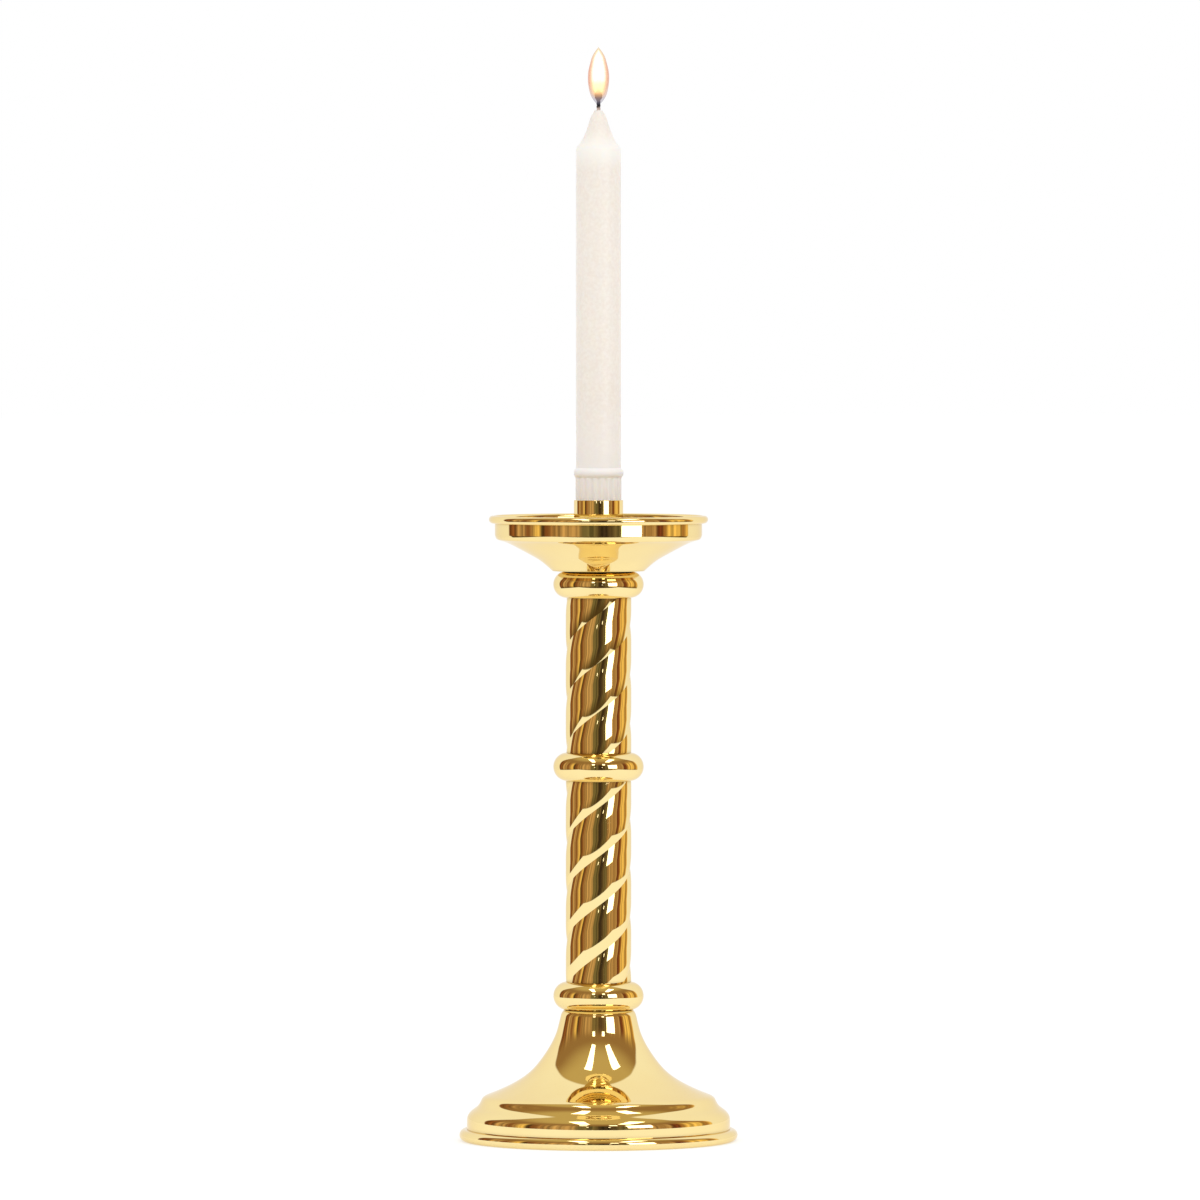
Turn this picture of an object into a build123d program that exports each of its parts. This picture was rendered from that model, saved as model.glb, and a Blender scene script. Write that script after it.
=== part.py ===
from build123d import *
import os

# A polished brass altar candlestick. A spun bell base, three turned knops, two twisted
# columns, a spun drip pan and a cup socket are drawn together by one tie rod, and a
# self-fitting candle stands in the socket.
# Millimetres, +Z up, origin on the table under the axis.

# All pieces
overrun = 1.0                   # how far a cutter runs past the face that it cuts
sheet_steps = 16                # points that carry a sheet's inner face along its outer one
end_pull = 0.1                  # strength of the direction given to a curve's end

# Base shell, spun from sheet
base_sheet = 1.2                # thickness of the sheet
base_height = 64.8              # table to the flat top of the bell
base_rim_radius = 69.0          # outside of the rolled rim
base_bead_radius = 3.0          # round section of the rolled rim
base_ground_depth = 0.1         # ground off the rim so that it stands flat
base_rim_stand_out = 3.7        # rim proud of the upright band above it
base_wall_top = 9.6             # upper edge of that band
base_step_width = 11.2          # stepped foot, from the band in to the bell's edge
base_step_height = 23.15
base_neck_radius = 18.65        # top of the bell's flare
base_neck_lean = 15.0           # how far the flare still leans in there, degrees
base_neck_drop = 2.5            # height of the rounded shoulder between the flare and the flat top
base_shoulder_width = 1.45
# The stepped foot from the upright band, at 0 and 0, in to the step, at 1 and 1
foot_shares = (
    (0.0, 0.0),
    (0.009, 0.125),
    (0.076, 0.269),
    (0.241, 0.413),
    (0.473, 0.561),
    (0.598, 0.708),
    (0.688, 0.849),
)
# The flare from the step, at 0 and 0, in to the neck, at 1 and 1
bell_shares = (
    (0.0, 0.0),
    (0.202, 0.077),
    (0.412, 0.178),
    (0.595, 0.304),
    (0.736, 0.456),
    (0.85, 0.614),
    (0.928, 0.76),
    (0.976, 0.911),
    (1.0, 1.0),
)

# Turned knops
knop_radius = 22.4              # outside of the half-round bead
knop_height = 14.1              # lower and middle knop
upper_knop_height = 13.3
spigot_length = 4.0             # tongue that centres a column on a knop
spigot_clearance = 0.15

# Twisted columns
column_radius = 16.25
column_wall = 1.6               # thickness left under a groove
lower_column_length = 99.5
upper_column_length = 76.6
groove_depth = 0.7
groove_count = 3
twist_lead = 72.8               # rise of one groove in a full right-hand turn
groove_above_width = 8.4        # rise of the rounded flank over the groove's sharp bottom
groove_below_width = 8.7        # fall of the rounded flank under it
lower_groove_angle = 80.5       # where the first groove starts at a column's foot, degrees
upper_groove_angle = 48.5

# Drip pan, spun from sheet
pan_sheet = 1.1
pan_floor_radius = 22.8
pan_wall_foot = 18.0            # height of the upright band's lower edge above the pan's underside
pan_lip_radius = 54.3
pan_lip_stand_out = 2.95        # lip proud of the band under it
pan_lip_bead_radius = 1.95
pan_lip_height = 25.5           # middle of the lip's bead above the pan's underside
# The flared underside from the floor, at 0 and 0, out to the band
pan_shares = ((0.13, 0.183), (0.336, 0.4), (0.595, 0.622), (0.911, 0.839), (0.979, 0.9), (1.0, 1.0))
pan_start_shares = (0.78, 0.62)

# Candle socket
socket_wall = 0.7
socket_floor = 2.5
socket_height = 34.0            # from the pan's floor to the mouth
socket_edge_fillet = 0.3

# Tie rod and its fasteners
rod_radius = 4.0
rod_end_chamfer = 0.8
rod_stand_out = 1.5             # rod showing past each nut
rod_clearance = 0.3             # in the holes that the rod passes through
thread_clearance = 0.05         # between the rod and a nut's thread
nut_across_flats = 13.0
nut_height = 6.5
nut_chamfer = 0.6
base_washer_margin = 3.2        # flat left round the washer inside the bell
base_washer_thickness = 2.0
lock_washer_radius = 7.2
lock_washer_thickness = 2.0
lock_washer_slot = 1.6
socket_washer_radius = 8.5
socket_washer_thickness = 1.2

# Candle and wick
candle_radius = 11.1
candle_end_radius = 11.35       # tapered end, where the socket's mouth holds it
candle_fit_clearance = 0.15     # between the tapered end and the socket's mouth
candle_foot_gap = 2.7           # between the candle's foot and the end of the rod
candle_foot_taper = 0.65        # how much narrower the foot is than the end at the mouth
candle_collar_swell = 0.1       # how much wider the end is under the bead ring
candle_ring_stand_out = 1.25    # bead ring proud of the candle's side
candle_ring_height = 4.6
candle_ring_lift = 11.2         # underside of the bead ring above the socket's mouth
candle_body_length = 157.5      # from the bead ring to the shoulder
candle_tip_length = 19.4        # from the shoulder to the top of the wax
candle_tip_radius = 1.9
flute_count = 20
flute_radius = 2.2
flute_depth = 0.3
# The burnt-down tip from the shoulder, at 1 and 0, to the top, at 0 and 1
tip_shares = (
    (1.0, 0.0),
    (0.967, 0.046),
    (0.82, 0.144),
    (0.674, 0.247),
    (0.478, 0.454),
    (0.326, 0.655),
    (0.174, 0.861),
)
wick_radius = 1.05
wick_clearance = 0.05
wick_stand_out = 6.6            # wick showing above the wax
wick_tip_fillet_share = 0.6

# Heights of the stack, each piece on the one below
lower_knop_z = base_height
lower_column_z = lower_knop_z + knop_height
middle_knop_z = lower_column_z + lower_column_length
upper_column_z = middle_knop_z + knop_height
upper_knop_z = upper_column_z + upper_column_length
pan_z = upper_knop_z + upper_knop_height
socket_z = pan_z + pan_sheet
socket_mouth_z = socket_z + socket_height
socket_washer_z = socket_z + socket_floor
socket_nut_z = socket_washer_z + socket_washer_thickness
rod_top_z = socket_nut_z + nut_height + rod_stand_out
base_washer_z = base_height - base_sheet - base_washer_thickness
lock_washer_z = base_washer_z - lock_washer_thickness
base_nut_z = lock_washer_z - nut_height
rod_foot_z = base_nut_z - rod_stand_out
candle_foot_z = rod_top_z + candle_foot_gap
candle_ring_z = socket_mouth_z + candle_ring_lift
candle_body_z = candle_ring_z + candle_ring_height
candle_shoulder_z = candle_body_z + candle_body_length
candle_top_z = candle_shoulder_z + candle_tip_length

# Radii that fit one piece, or one part of a piece, to another
base_wall_radius = base_rim_radius - base_rim_stand_out
base_step_radius = base_wall_radius - base_step_width
pan_wall_radius = pan_lip_radius - pan_lip_stand_out
rod_hole_radius = rod_radius + rod_clearance
column_bore_radius = column_radius - groove_depth - column_wall
spigot_radius = column_bore_radius - spigot_clearance
base_top_radius = base_neck_radius - base_shoulder_width
base_washer_radius = base_top_radius - base_washer_margin
socket_bore_radius = candle_end_radius + candle_fit_clearance
socket_radius = socket_bore_radius + socket_wall
candle_foot_radius = candle_end_radius - candle_foot_taper
candle_collar_radius = candle_end_radius + candle_collar_swell
on_floor = (Align.CENTER, Align.CENTER, Align.MIN)


def turned(*lines):
    """Solid of revolution about Z of a closed outline drawn as radius and height."""
    return revolve(Plane.XZ * make_face(Curve() + list(lines)), Axis.Z)


def ring(outer_radius, inner_radius, thickness, z):
    """Plain ring standing at height z."""
    disc = Cylinder(outer_radius, thickness, align=on_floor)
    hole = Cylinder(inner_radius, thickness + 2 * overrun, align=on_floor)
    return Pos(0, 0, z) * (disc - Pos(0, 0, -overrun) * hole)


def rolled_edge(outer_radius, bead_radius, z):
    """Round bead rolled along the edge of a spun sheet."""
    return Pos(0, 0, z) * Torus(outer_radius - bead_radius, bead_radius)


def flowing(points, start_direction, end_direction):
    """Smooth curve through points that leaves and arrives in the given directions."""
    return Spline(*points, tangents=(start_direction, end_direction), tangent_scalars=(end_pull, end_pull))


def sheet_inside(curve, thickness):
    """Curve that runs one thickness of sheet to the left of another, along its length."""
    points = []
    for step in range(sheet_steps + 1):
        along = curve % (step / sheet_steps)
        points.append(curve @ (step / sheet_steps) + Vector(-along.Y, along.X) * thickness)
    return flowing(points, curve % 0, curve % 1)


def base_shell():
    neck_z = base_height - base_neck_drop
    bead_z = base_bead_radius - base_ground_depth
    foot = [
        (
            base_wall_radius + inward * (base_step_radius - base_wall_radius),
            base_wall_top + up * (base_step_height - base_wall_top),
        )
        for inward, up in foot_shares
    ]
    flare = [
        (
            base_step_radius + inward * (base_neck_radius - base_step_radius),
            base_step_height + up * (neck_z - base_step_height),
        )
        for inward, up in bell_shares
    ]
    upward = Vector(0, 1)
    side = flowing(foot + flare, upward, upward.rotate(Axis.Z, base_neck_lean))
    inner_side = sheet_inside(side, base_sheet)
    neck_edge = (base_top_radius, base_height)
    outside = turned(
        Polyline((0, base_height), (0, bead_z), (base_wall_radius, bead_z), side @ 0),
        side,
        TangentArc(side @ 1, neck_edge, tangent=side % 1),
        Line(neck_edge, (0, base_height)),
    )
    low_corner = Vector((inner_side @ 0).X, bead_z - overrun)
    hollow = turned(
        Polyline((0, base_height), (0, low_corner.Y), low_corner, inner_side @ 0),
        inner_side,
        Polyline(inner_side @ 1, neck_edge, (0, base_height)),
    )
    shell = outside - split(hollow, Plane.XY.offset(base_height - base_sheet), keep=Keep.BOTTOM)
    shell += rolled_edge(base_rim_radius, base_bead_radius, bead_z)
    shell -= Cylinder(rod_hole_radius, base_height + overrun, align=on_floor)
    return split(shell, Plane.XY, keep=Keep.TOP)


def knop(height, z, spigot_below, spigot_above):
    """Half-round bead with a rod hole, and a spigot for each column that it carries."""
    round_radius = height / 2
    seat_radius = knop_radius - round_radius
    bead = RadiusArc((seat_radius, 0), (seat_radius, height), -round_radius)
    flat = Polyline(bead @ 1, (rod_hole_radius, height), (rod_hole_radius, 0), bead @ 0)
    body = turned(bead, flat)
    if spigot_below:
        body += ring(spigot_radius, rod_hole_radius, spigot_length, -spigot_length)
    if spigot_above:
        body += ring(spigot_radius, rod_hole_radius, spigot_length, height)
    return Pos(0, 0, z) * body


def column_section(first_angle):
    """Round section with sharp-bottomed grooves, whose flanks round off into the lands."""
    above = 360 * groove_above_width / twist_lead
    below = 360 * groove_below_width / twist_lead
    pitch = 360 / groove_count
    outward = Vector(1, 0)
    sideways = Vector(0, 1)
    edges = []
    for index in range(groove_count):
        angle = first_angle + index * pitch
        start = outward.rotate(Axis.Z, angle - above) * column_radius
        bottom = outward.rotate(Axis.Z, angle) * (column_radius - groove_depth)
        end = outward.rotate(Axis.Z, angle + below) * column_radius
        land = outward.rotate(Axis.Z, angle + (below + pitch - above) / 2) * column_radius
        following = outward.rotate(Axis.Z, angle + pitch - above) * column_radius
        edges.append(TangentArc(start, bottom, tangent=sideways.rotate(Axis.Z, angle - above)))
        edges.append(TangentArc(end, bottom, tangent=-sideways.rotate(Axis.Z, angle + below)))
        edges.append(ThreePointArc(end, land, following))
    return make_face(Curve() + edges)


def column(length, z, first_angle):
    section = column_section(first_angle)
    turn = 360 * length / twist_lead
    bar = Solid.extrude_linear_with_rotation(section.face(), (0, 0, 0), (0, 0, length), turn)
    bore = Cylinder(column_bore_radius, length + 2 * overrun, align=on_floor)
    return Pos(0, 0, z) * (Part() + bar - Pos(0, 0, -overrun) * bore)


def drip_pan():
    flare = [
        (pan_floor_radius + out * (pan_wall_radius - pan_floor_radius), up * pan_wall_foot)
        for out, up in pan_shares
    ]
    under = flowing([(pan_floor_radius, 0)] + flare, pan_start_shares, (0, 1))
    inner = sheet_inside(under, pan_sheet)
    outside = turned(
        Polyline((0, pan_lip_height), (0, 0), under @ 0),
        under,
        Polyline(under @ 1, (pan_wall_radius, pan_lip_height), (0, pan_lip_height)),
    )
    mouth_z = pan_lip_height + overrun
    low_corner = Vector((inner @ 0).X, 0)
    hollow = turned(
        Polyline((0, mouth_z), (0, 0), low_corner, inner @ 0),
        inner,
        Polyline(inner @ 1, ((inner @ 1).X, mouth_z), (0, mouth_z)),
    )
    dish = outside - split(hollow, Plane.XY.offset(pan_sheet), keep=Keep.TOP)
    dish += rolled_edge(pan_lip_radius, pan_lip_bead_radius, pan_lip_height)
    dish -= Cylinder(rod_hole_radius, pan_lip_height, align=(Align.CENTER, Align.CENTER, Align.CENTER))
    return Pos(0, 0, pan_z) * dish


def socket():
    cup = Cylinder(socket_radius, socket_height, align=on_floor)
    hollow = Cylinder(socket_bore_radius, socket_height - socket_floor + overrun, align=on_floor)
    cup -= Pos(0, 0, socket_floor) * hollow
    mouth = cup.edges().filter_by(GeomType.CIRCLE).group_by(Axis.Z)[-1]
    cup = fillet(mouth, socket_edge_fillet)
    rod_hole = Cylinder(rod_hole_radius, socket_floor + 2 * overrun, align=on_floor)
    return Pos(0, 0, socket_z) * (cup - Pos(0, 0, -overrun) * rod_hole)


def tie_rod():
    rod = Cylinder(rod_radius, rod_top_z - rod_foot_z, align=on_floor)
    rod = chamfer(rod.edges().filter_by(GeomType.CIRCLE), rod_end_chamfer)
    return Pos(0, 0, rod_foot_z) * rod


def nut(z):
    """Hexagon nut with its corners turned off at both ends."""
    block = extrude(RegularPolygon(nut_across_flats / 2, 6, major_radius=False), nut_height)
    corner_radius = nut_across_flats / 3**0.5
    turned_blank = chamfer(
        Cylinder(corner_radius, nut_height, align=on_floor).edges().filter_by(GeomType.CIRCLE),
        nut_chamfer,
    )
    thread = Cylinder(rod_radius + thread_clearance, nut_height + 2 * overrun, align=on_floor)
    return Pos(0, 0, z) * ((block & turned_blank) - Pos(0, 0, -overrun) * thread)


def lock_washer():
    """Spring washer, cut through on one side."""
    washer = ring(lock_washer_radius, rod_hole_radius, lock_washer_thickness, lock_washer_z)
    slot = Box(
        lock_washer_radius + overrun,
        lock_washer_slot,
        lock_washer_thickness + 2 * overrun,
        align=(Align.MIN, Align.CENTER, Align.MIN),
    )
    return washer - Pos(0, 0, lock_washer_z - overrun) * slot


def candle():
    bore_radius = wick_radius + wick_clearance
    ring_middle = (candle_radius + candle_ring_stand_out, candle_ring_z + candle_ring_height / 2)
    tip = [
        (
            candle_tip_radius + out * (candle_radius - candle_tip_radius),
            candle_shoulder_z + up * candle_tip_length,
        )
        for out, up in tip_shares
    ]
    crown = (candle_tip_radius, candle_top_z)
    wax = turned(
        Polyline(
            (bore_radius, candle_foot_z),
            (candle_foot_radius, candle_foot_z),
            (candle_end_radius, socket_mouth_z),
            (candle_collar_radius, candle_ring_z),
        ),
        ThreePointArc((candle_collar_radius, candle_ring_z), ring_middle, (candle_radius, candle_body_z)),
        Line((candle_radius, candle_body_z), tip[0]),
        flowing(tip + [crown], (0, 1), (-1, 0)),
        Polyline(crown, (bore_radius, candle_top_z), (bore_radius, candle_foot_z)),
    )
    return wax - flutes()


def flutes():
    """Shallow channels down the tapered end, from under the bead ring to the foot."""
    axis_offset = flute_radius - flute_depth
    foot = Vector(candle_foot_radius + axis_offset, 0, candle_foot_z)
    collar = Vector(candle_collar_radius + axis_offset, 0, candle_ring_z)
    along = collar - foot
    channel = Plane(foot, z_dir=along) * Cylinder(flute_radius, along.length, align=on_floor)
    return [Rot(0, 0, 360 * index / flute_count) * channel for index in range(flute_count)]


def wick():
    cord = Cylinder(wick_radius, candle_top_z + wick_stand_out - candle_foot_z, align=on_floor)
    cord = fillet(cord.edges().group_by(Axis.Z)[-1], wick_radius * wick_tip_fillet_share)
    return Pos(0, 0, candle_foot_z) * cord


pieces = {
    "base_shell": base_shell(),
    "base_washer": ring(base_washer_radius, rod_hole_radius, base_washer_thickness, base_washer_z),
    "lock_washer": lock_washer(),
    "base_nut": nut(base_nut_z),
    "tie_rod": tie_rod(),
    "lower_knop": knop(knop_height, lower_knop_z, False, True),
    "lower_column": column(lower_column_length, lower_column_z, lower_groove_angle),
    "middle_knop": knop(knop_height, middle_knop_z, True, True),
    "upper_column": column(upper_column_length, upper_column_z, upper_groove_angle),
    "upper_knop": knop(upper_knop_height, upper_knop_z, True, False),
    "drip_pan": drip_pan(),
    "socket": socket(),
    "socket_washer": ring(socket_washer_radius, rod_hole_radius, socket_washer_thickness, socket_washer_z),
    "socket_nut": nut(socket_nut_z),
    "candle": candle(),
    "wick": wick(),
}

os.makedirs("parts", exist_ok=True)
for name, shape in pieces.items():
    export_step(shape, f"parts/{name}.step")
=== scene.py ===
import math

import bpy
import numpy as np
from bpy.props import FloatProperty, FloatVectorProperty, IntProperty, PointerProperty
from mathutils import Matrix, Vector


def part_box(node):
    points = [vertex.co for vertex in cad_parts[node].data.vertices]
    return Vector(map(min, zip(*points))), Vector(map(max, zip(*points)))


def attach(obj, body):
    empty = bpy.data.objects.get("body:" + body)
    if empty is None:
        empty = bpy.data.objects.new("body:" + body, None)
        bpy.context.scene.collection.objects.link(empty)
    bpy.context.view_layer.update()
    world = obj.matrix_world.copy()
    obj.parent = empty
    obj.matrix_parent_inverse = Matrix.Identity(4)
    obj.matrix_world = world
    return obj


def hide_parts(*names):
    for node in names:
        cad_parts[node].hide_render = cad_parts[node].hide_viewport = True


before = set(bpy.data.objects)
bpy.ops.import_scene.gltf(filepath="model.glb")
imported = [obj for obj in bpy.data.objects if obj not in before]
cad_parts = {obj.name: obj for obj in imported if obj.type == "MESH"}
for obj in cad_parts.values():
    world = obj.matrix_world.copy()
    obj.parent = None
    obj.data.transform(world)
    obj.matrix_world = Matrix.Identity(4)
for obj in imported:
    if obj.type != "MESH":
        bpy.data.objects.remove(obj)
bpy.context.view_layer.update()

bl_info = {
    "name": "Spiral candlestick",
    "version": (1, 0, 0),
    "blender": (4, 5, 0),
    "location": "View3D > Sidebar > Candlestick",
    "description": "Dresses a brass spiral candlestick with its lit candle and sets it in a white studio",
    "category": "Object",
}

MM = 0.001
MICRON = 0.000001
FULL_TURN = 2 * math.pi
# Kinds of node that are used often. The inputs of Map Range are a value, the least and the most that it
# has, and what these two become. Two inputs of a Mix node are for colours.
MATH = "ShaderNodeMath"
MAP_RANGE = "ShaderNodeMapRange"
MIX = "ShaderNodeMix"
MIX_A, MIX_B = 6, 7
NOISE = "ShaderNodeTexNoise"
BUMP = "ShaderNodeBump"
RAMP = "ShaderNodeValToRGB"
SEPARATE = "ShaderNodeSeparateXYZ"
COMBINE = "ShaderNodeCombineXYZ"
WHITE = (1.0, 1.0, 1.0, 1.0)
BLACK = (0.0, 0.0, 0.0, 1.0)
HOLDER = "holder"
CANDLE = "candle"

# Facets round the pieces, and along a groove and a thread
SPUN_FACETS = 288
KNOP_FACETS = 224
SOCKET_FACETS = 192
FLAME_FACETS = 64
FACETS_PER_FLUTE = 12
FACETS_PER_GROOVE = 96
THREAD_FACETS = 12
ROWS_PER_THREAD = 24
STRANDS = 3
# Points along an outline: to each span of the base and the flame, and round the round edges
BASE_STEPS = 10
FLAME_STEPS = 8
RIM_STEPS = 48
LIP_STEPS = 48
KNOP_STEPS = 64
EDGE_STEPS = 10
RING_STEPS = 32
# Distance between points along straight runs, the columns' rows and the wick
BAND_SPACING = 0.4 * MM
SOCKET_SPACING = 2 * MM
TAPER_SPACING = 0.8 * MM
SIDE_SPACING = 2 * MM
ROW_HEIGHT = 0.5 * MM
WICK_SPACING = 0.3 * MM
# Degrees past which an edge is sharp: most pieces, the grooves' bottoms and the flame
SHARP = 30
GROOVE_SHARP = 8
FLAME_SHARP = 60
# How strongly the lacquer darkens a joint, and how many times the bead ring's lift the painted light of the
# paler end reaches up
LACQUER_SHARE = 0.25
PAINTED_LIGHT_END_LIFTS = 5
# How much the flame hides at its very foot, and its outline's directions at its foot and its point
FLAME_FOOT_ALPHA = 0.05
FLAME_START = (1, 0.6)
FLAME_END = (-1, 1.2)
# Metres: half the floor's width, how deep the camera sees, and the height that the softboxes face
FLOOR_HALF = 30.0
VIEW_DEPTH = 100.0
SOFTBOX_AIM = 0.1

# How fast a curve leaves and meets its ends, as a share of its speed in between
END_PULL_SHARE = 0.1
# The stepped foot from the upright band, at 0 and 0, in to the step, at 1 and 1
FOOT_SHARES = (
    (0.0, 0.0),
    (0.009, 0.125),
    (0.076, 0.269),
    (0.241, 0.413),
    (0.473, 0.561),
    (0.598, 0.708),
    (0.688, 0.849),
)
# The flare from the step, at 0 and 0, in to the neck, at 1 and 1
BELL_SHARES = (
    (0.0, 0.0),
    (0.202, 0.077),
    (0.412, 0.178),
    (0.595, 0.304),
    (0.736, 0.456),
    (0.85, 0.614),
    (0.928, 0.76),
    (0.976, 0.911),
    (1.0, 1.0),
)
# The pan's flared underside from the floor, at 0 and 0, out to the upright band, at 1 and 1
PAN_SHARES = (
    (0.0, 0.0),
    (0.13, 0.183),
    (0.336, 0.4),
    (0.595, 0.622),
    (0.911, 0.839),
    (0.979, 0.9),
    (1.0, 1.0),
)
PAN_START_SHARES = (0.78, 0.62)
# The candle's burnt-down tip from the shoulder, at 1 and 0, to the top, at 0 and 1
TIP_SHARES = (
    (1.0, 0.0),
    (0.967, 0.046),
    (0.82, 0.144),
    (0.674, 0.247),
    (0.478, 0.454),
    (0.326, 0.655),
    (0.174, 0.861),
    (0.0, 1.0),
)
# Half the flame's outline from its foot, at 0 and 0, to its point, at 0 and 1
FLAME_SHARES = (
    (0.0, 0.0),
    (0.42, 0.09),
    (0.8, 0.22),
    (0.95, 0.35),
    (1.0, 0.48),
    (0.93, 0.62),
    (0.76, 0.745),
    (0.47, 0.885),
    (0.0, 1.0),
)
# Colours of the flame's shells by share of their height
FLAME_MANTLE = (
    (0.0, "#7C7C98"),
    (0.1, "#A8A0B0"),
    (0.22, "#DCAC90"),
    (0.4, "#E08858"),
    (0.65, "#E08454"),
    (1.0, "#E8C890"),
)
FLAME_VEIL = ((0.0, "#F0C080"), (0.3, "#F4C498"), (1.0, "#FBE0B8"))
FLAME_BODY = ((0.0, "#FFD070"), (0.35, "#FADCB4"), (1.0, "#FFEED0"))
FLAME_HEART = ((0.0, "#F8C060"), (0.3, "#FFE6A8"), (0.5, "#FFF8F0"), (1.0, "#FFF8EC"))
FLAME_CORE = ((0.0, "#F0A848"), (0.14, "#FFDC90"), (0.28, "#FFEEB8"), (0.44, "#FFFFFF"), (1.0, "#FFFFFF"))
FLAME_EMBER = ((0.0, "#181014"), (0.3, "#482010"), (0.7, "#A85416"), (1.0, "#E8A850"))

# The room in front of the table, by degrees to the right of the camera
ROOM_WALLS = (
    (-120, "brown"),
    (-108, "brown"),
    (-100, "tan"),
    (-92, "tan"),
    (-86, "brown"),
    (-79, "umber"),
    (-74, "gold"),
    (-70, "gold"),
    (-66, "shade"),
    (-60, "brown"),
    (-50, "umber"),
    (-42, "tan"),
    (-24, "tan"),
    (-17, "olive"),
    (-7, "olive"),
    (0, "shade"),
    (6, "doorway"),
    (13, "shade"),
    (26, "olive"),
    (33, "umber"),
    (42, "tan"),
    (60, "umber"),
    (66, "tan"),
    (70, "mahogany"),
    (75, "mahogany"),
    (79, "amber"),
    (86, "gold"),
    (102, "gold"),
    (109, "amber"),
    (118, "gold"),
)


def linear(hex_colour):
    """Scene-linear RGBA of an sRGB hex colour."""
    channels = [int(hex_colour[i : i + 2], 16) / 255 for i in (1, 3, 5)]
    return tuple(c / 12.92 if c <= 0.04045 else ((c + 0.055) / 1.055) ** 2.4 for c in channels) + (1.0,)


def length(name, description, millimetres):
    """A length property, given in millimetres and kept in metres."""
    return FloatProperty(
        name=name,
        description=description,
        default=millimetres * MM,
        min=0.0,
        precision=5,
        subtype="DISTANCE",
        unit="LENGTH",
    )


def colour(name, description, hex_colour):
    """A colour property, given as an sRGB hex value."""
    return FloatVectorProperty(
        name=name,
        description=description,
        default=linear(hex_colour),
        size=4,
        min=0.0,
        max=1.0,
        subtype="COLOR",
    )


def angle(name, description, degrees):
    """An angle property, given in degrees."""
    return FloatProperty(
        name=name,
        description=description,
        default=math.radians(degrees),
        subtype="ANGLE",
        unit="ROTATION",
    )


def amount(name, description, default):
    """A plain number property that is never negative."""
    return FloatProperty(name=name, description=description, default=default, min=0.0)


class BrassSizes(bpy.types.PropertyGroup):
    """Sizes of the brass pieces."""

    base_sheet: length("Base sheet", "Thickness of the sheet that the base is spun from", 1.2)
    base_bead: length("Base bead", "Radius of the rolled rim's round section", 3.0)
    base_rim_stand_out: length("Rim stand-out", "How far the rim is proud of the band above it", 3.7)
    base_wall_top: length("Band top", "Height of the upright band's upper edge", 9.6)
    base_step_width: length("Step width", "Stepped foot, from the band in to the bell's edge", 11.2)
    base_step_height: length("Step height", "Height of the bell's lower edge", 23.15)
    base_neck: length("Neck radius", "Radius at the top of the bell's flare", 18.65)
    base_neck_lean: angle("Neck lean", "How far the flare still leans in at its top", 15.0)
    base_neck_drop: length("Shoulder height", "Rounded shoulder between the flare and the flat top", 2.5)
    base_shoulder: length("Shoulder width", "Width of that shoulder", 1.45)
    base_ground: length("Ground depth", "How much is ground off the rim so that it stands flat", 0.1)
    rod_hole: length("Rod hole", "Radius of the holes that the tie rod passes through", 4.3)
    spigot: length("Spigot radius", "Tongue that centres a column on a knop", 13.8)
    spigot_length: length("Spigot length", "Height of that tongue", 4.0)
    column_bore: length("Column bore", "Inner radius of the columns", 13.95)
    groove_depth: length("Groove depth", "Depth of the spiral grooves", 0.7)
    groove_count: IntProperty(name="Grooves", description="Spiral grooves round a column", default=3, min=1)
    twist_lead: length("Lead", "Rise of one groove in a full right-hand turn", 72.8)
    groove_above: length("Upper flank", "Rise of the rounded flank over a groove's bottom", 8.4)
    groove_below: length("Lower flank", "Fall of the rounded flank under a groove's bottom", 8.7)
    lower_angle: angle("Lower start", "Where the lower column's first groove starts at its foot", 80.5)
    upper_angle: angle("Upper start", "Where the upper column's first groove starts at its foot", 48.5)
    pan_sheet: length("Pan sheet", "Thickness of the sheet that the pan is spun from", 1.1)
    pan_floor: length("Pan floor", "Radius of the pan's flat floor", 22.8)
    pan_wall_foot: length("Pan band", "Height of the upright band's lower edge above the underside", 18.0)
    pan_lip_bead: length("Lip bead", "Radius of the rolled lip's round section", 1.95)
    pan_lip_stand_out: length("Lip stand-out", "How far the lip is proud of the band under it", 2.95)
    socket_bore: length("Socket bore", "Inner radius of the candle socket", 11.5)
    socket_floor: length("Socket floor", "Thickness of the socket's floor", 2.5)
    socket_edge: length("Socket edge", "Rounding of the socket's mouth", 0.3)
    crease_reach: length("Crease", "How far the lacquer is darker from a joint", 0.9)


class FastenerSizes(bpy.types.PropertyGroup):
    """Sizes of the threaded rod."""

    thread_pitch: length("Pitch", "Rise of the rod's screw thread in one turn", 1.25)
    thread_depth: length("Thread depth", "Depth of the rod's screw thread", 0.68)


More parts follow.
